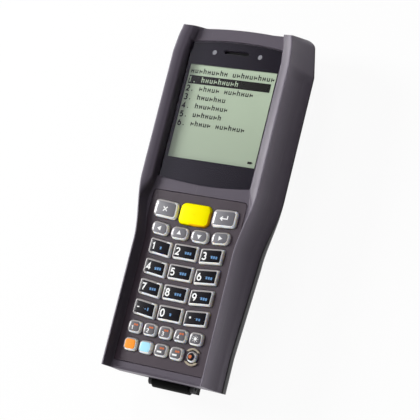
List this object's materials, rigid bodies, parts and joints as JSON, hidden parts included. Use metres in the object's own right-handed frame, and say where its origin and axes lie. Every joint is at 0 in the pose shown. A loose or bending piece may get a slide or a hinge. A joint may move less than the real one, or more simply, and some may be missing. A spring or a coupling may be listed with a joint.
{
  "type": "portable barcode data terminal",
  "caption": "Slim handheld barcode data terminal with a square display, a rubber-domed keypad, raised side rails and a hinged port cover at the bottom end.",
  "frame": {"origin": "centre of the bounding box's bottom, on the back face", "axes": "+X across to the right as seen from the front, +Y along the body towards the scanning end, +Z out of the front face"},
  "size_m": [0.071, 0.1755, 0.0368],
  "materials": {
    "housing_front": "fine-grained moulded plastic",
    "housing_back": "fine-grained moulded plastic",
    "bezel": "satin painted plastic",
    "guard": "moulded plastic",
    "lens": "hard-coated clear window",
    "mask": "gloss black print",
    "panel": "liquid crystal cell",
    "dark_plastic": "moulded plastic",
    "white_plastic": "diffuser plate",
    "light_pipe": "clear light pipe",
    "mesh": "perforated sheet",
    "mat": "silicone",
    "steel": "bright steel",
    "board": "solder-masked laminate",
    "tin": "tinned sheet",
    "ceramic": "moulded antenna body",
    "scan_glass": "red-tinted window",
    "battery": "moulded case",
    "rubber": "elastomer",
    "key_yellow": "hard-coated key top",
    "key_orange": "hard-coated key top",
    "key_blue": "hard-coated key top",
    "key_black": "black printed key top with a light rim",
    "key_grey": "grey printed key top with a light rim"
  },
  "bodies": {
    "terminal": {"front_housing": "housing_front", "back_housing": "housing_back", "keypad_bezel": "bezel", "power_guard": "guard", "display_lens": "lens", "window_mask": "mask", "lcd_panel": "panel", "lcd_frame": "dark_plastic", "backlight_plate": "white_plastic", "status_lights": "light_pipe", "speaker": "dark_plastic", "speaker_mesh": "mesh", "keypad_mat": "mat", "dome_sheet": "steel", "main_board": "board", "shield_can": "tin", "backup_cell": "steel", "antenna": "ceramic", "scan_engine": "dark_plastic", "scan_window": "scan_glass", "battery_contacts": "dark_plastic", "battery_seal": "rubber", "housing_gasket": "rubber", "housing_screws": "steel", "board_screws": "steel", "dock_connector": "dark_plastic", "port_cover_pin": "steel"},
    "key_esc_body": {"key_esc": "key_grey"},
    "key_scan_body": {"key_scan": "key_yellow"},
    "key_enter_body": {"key_enter": "key_grey"},
    "key_left_body": {"key_left": "key_grey"},
    "key_up_body": {"key_up": "key_grey"},
    "key_down_body": {"key_down": "key_grey"},
    "key_right_body": {"key_right": "key_grey"},
    "key_1_body": {"key_1": "key_black"},
    "key_2_body": {"key_2": "key_black"},
    "key_3_body": {"key_3": "key_black"},
    "key_4_body": {"key_4": "key_black"},
    "key_5_body": {"key_5": "key_black"},
    "key_6_body": {"key_6": "key_black"},
    "key_7_body": {"key_7": "key_black"},
    "key_8_body": {"key_8": "key_black"},
    "key_9_body": {"key_9": "key_black"},
    "key_minus_body": {"key_minus": "key_black"},
    "key_0_body": {"key_0": "key_black"},
    "key_dot_body": {"key_dot": "key_black"},
    "key_f1_body": {"key_f1": "key_grey"},
    "key_f2_body": {"key_f2": "key_grey"},
    "key_f3_body": {"key_f3": "key_grey"},
    "key_f4_body": {"key_f4": "key_grey"},
    "key_light_body": {"key_light": "key_grey"},
    "key_orange_body": {"key_orange": "key_orange"},
    "key_blue_body": {"key_blue": "key_blue"},
    "key_space_body": {"key_space": "key_grey"},
    "key_back_body": {"key_back": "key_grey"},
    "key_power_body": {"key_power": "key_black"},
    "cover": {"battery_cover": "housing_back"},
    "battery": {"battery_pack": "battery"},
    "lock_screw": {"cover_screw": "steel"},
    "flap": {"port_cover": "rubber"}
  },
  "joints": [
    {"name": "cover_lift", "type": "slide", "parent": "terminal", "child": "cover", "axis": [0, 0, -1], "range_m": [0, 0.03]},
    {"name": "battery_lift", "type": "slide", "parent": "terminal", "child": "battery", "axis": [0, 0, -1], "range_m": [0, 0.015]},
    {"name": "screw_turn", "type": "hinge", "parent": "cover", "child": "lock_screw", "pos_m": [0, -0.07265, 0], "axis": [0, 0, 1], "range_deg": [0, 90]},
    {"name": "flap_swing", "type": "hinge", "parent": "terminal", "child": "flap", "pos_m": [0, -0.08455, 0.0134], "axis": [-1, 0, 0], "range_deg": [0, 100]},
    {"name": "key_esc_press", "type": "slide", "parent": "terminal", "child": "key_esc_body", "axis": [0, 0, -1], "range_m": [0, 0.0008], "stiffness_N_per_m": 2000},
    {"name": "key_scan_press", "type": "slide", "parent": "terminal", "child": "key_scan_body", "axis": [0, 0, -1], "range_m": [0, 0.0008], "stiffness_N_per_m": 2000},
    {"name": "key_enter_press", "type": "slide", "parent": "terminal", "child": "key_enter_body", "axis": [0, 0, -1], "range_m": [0, 0.0008], "stiffness_N_per_m": 2000},
    {"name": "key_left_press", "type": "slide", "parent": "terminal", "child": "key_left_body", "axis": [0, 0, -1], "range_m": [0, 0.0008], "stiffness_N_per_m": 2000},
    {"name": "key_up_press", "type": "slide", "parent": "terminal", "child": "key_up_body", "axis": [0, 0, -1], "range_m": [0, 0.0008], "stiffness_N_per_m": 2000},
    {"name": "key_down_press", "type": "slide", "parent": "terminal", "child": "key_down_body", "axis": [0, 0, -1], "range_m": [0, 0.0008], "stiffness_N_per_m": 2000},
    {"name": "key_right_press", "type": "slide", "parent": "terminal", "child": "key_right_body", "axis": [0, 0, -1], "range_m": [0, 0.0008], "stiffness_N_per_m": 2000},
    {"name": "key_1_press", "type": "slide", "parent": "terminal", "child": "key_1_body", "axis": [0, 0, -1], "range_m": [0, 0.0008], "stiffness_N_per_m": 2000},
    {"name": "key_2_press", "type": "slide", "parent": "terminal", "child": "key_2_body", "axis": [0, 0, -1], "range_m": [0, 0.0008], "stiffness_N_per_m": 2000},
    {"name": "key_3_press", "type": "slide", "parent": "terminal", "child": "key_3_body", "axis": [0, 0, -1], "range_m": [0, 0.0008], "stiffness_N_per_m": 2000},
    {"name": "key_4_press", "type": "slide", "parent": "terminal", "child": "key_4_body", "axis": [0, 0, -1], "range_m": [0, 0.0008], "stiffness_N_per_m": 2000},
    {"name": "key_5_press", "type": "slide", "parent": "terminal", "child": "key_5_body", "axis": [0, 0, -1], "range_m": [0, 0.0008], "stiffness_N_per_m": 2000},
    {"name": "key_6_press", "type": "slide", "parent": "terminal", "child": "key_6_body", "axis": [0, 0, -1], "range_m": [0, 0.0008], "stiffness_N_per_m": 2000},
    {"name": "key_7_press", "type": "slide", "parent": "terminal", "child": "key_7_body", "axis": [0, 0, -1], "range_m": [0, 0.0008], "stiffness_N_per_m": 2000},
    {"name": "key_8_press", "type": "slide", "parent": "terminal", "child": "key_8_body", "axis": [0, 0, -1], "range_m": [0, 0.0008], "stiffness_N_per_m": 2000},
    {"name": "key_9_press", "type": "slide", "parent": "terminal", "child": "key_9_body", "axis": [0, 0, -1], "range_m": [0, 0.0008], "stiffness_N_per_m": 2000},
    {"name": "key_minus_press", "type": "slide", "parent": "terminal", "child": "key_minus_body", "axis": [0, 0, -1], "range_m": [0, 0.0008], "stiffness_N_per_m": 2000},
    {"name": "key_0_press", "type": "slide", "parent": "terminal", "child": "key_0_body", "axis": [0, 0, -1], "range_m": [0, 0.0008], "stiffness_N_per_m": 2000},
    {"name": "key_dot_press", "type": "slide", "parent": "terminal", "child": "key_dot_body", "axis": [0, 0, -1], "range_m": [0, 0.0008], "stiffness_N_per_m": 2000},
    {"name": "key_f1_press", "type": "slide", "parent": "terminal", "child": "key_f1_body", "axis": [0, 0, -1], "range_m": [0, 0.0008], "stiffness_N_per_m": 2000},
    {"name": "key_f2_press", "type": "slide", "parent": "terminal", "child": "key_f2_body", "axis": [0, 0, -1], "range_m": [0, 0.0008], "stiffness_N_per_m": 2000},
    {"name": "key_f3_press", "type": "slide", "parent": "terminal", "child": "key_f3_body", "axis": [0, 0, -1], "range_m": [0, 0.0008], "stiffness_N_per_m": 2000},
    {"name": "key_f4_press", "type": "slide", "parent": "terminal", "child": "key_f4_body", "axis": [0, 0, -1], "range_m": [0, 0.0008], "stiffness_N_per_m": 2000},
    {"name": "key_light_press", "type": "slide", "parent": "terminal", "child": "key_light_body", "axis": [0, 0, -1], "range_m": [0, 0.0008], "stiffness_N_per_m": 2000},
    {"name": "key_orange_press", "type": "slide", "parent": "terminal", "child": "key_orange_body", "axis": [0, 0, -1], "range_m": [0, 0.0008], "stiffness_N_per_m": 2000},
    {"name": "key_blue_press", "type": "slide", "parent": "terminal", "child": "key_blue_body", "axis": [0, 0, -1], "range_m": [0, 0.0008], "stiffness_N_per_m": 2000},
    {"name": "key_space_press", "type": "slide", "parent": "terminal", "child": "key_space_body", "axis": [0, 0, -1], "range_m": [0, 0.0008], "stiffness_N_per_m": 2000},
    {"name": "key_back_press", "type": "slide", "parent": "terminal", "child": "key_back_body", "axis": [0, 0, -1], "range_m": [0, 0.0008], "stiffness_N_per_m": 2000},
    {"name": "key_power_press", "type": "slide", "parent": "terminal", "child": "key_power_body", "axis": [0, 0, -1], "range_m": [0, 0.0008], "stiffness_N_per_m": 2000}
  ],
  "couplings": [
    {"joint": "battery_lift", "follows": "cover_lift", "ratio": 0.5}
  ]
}
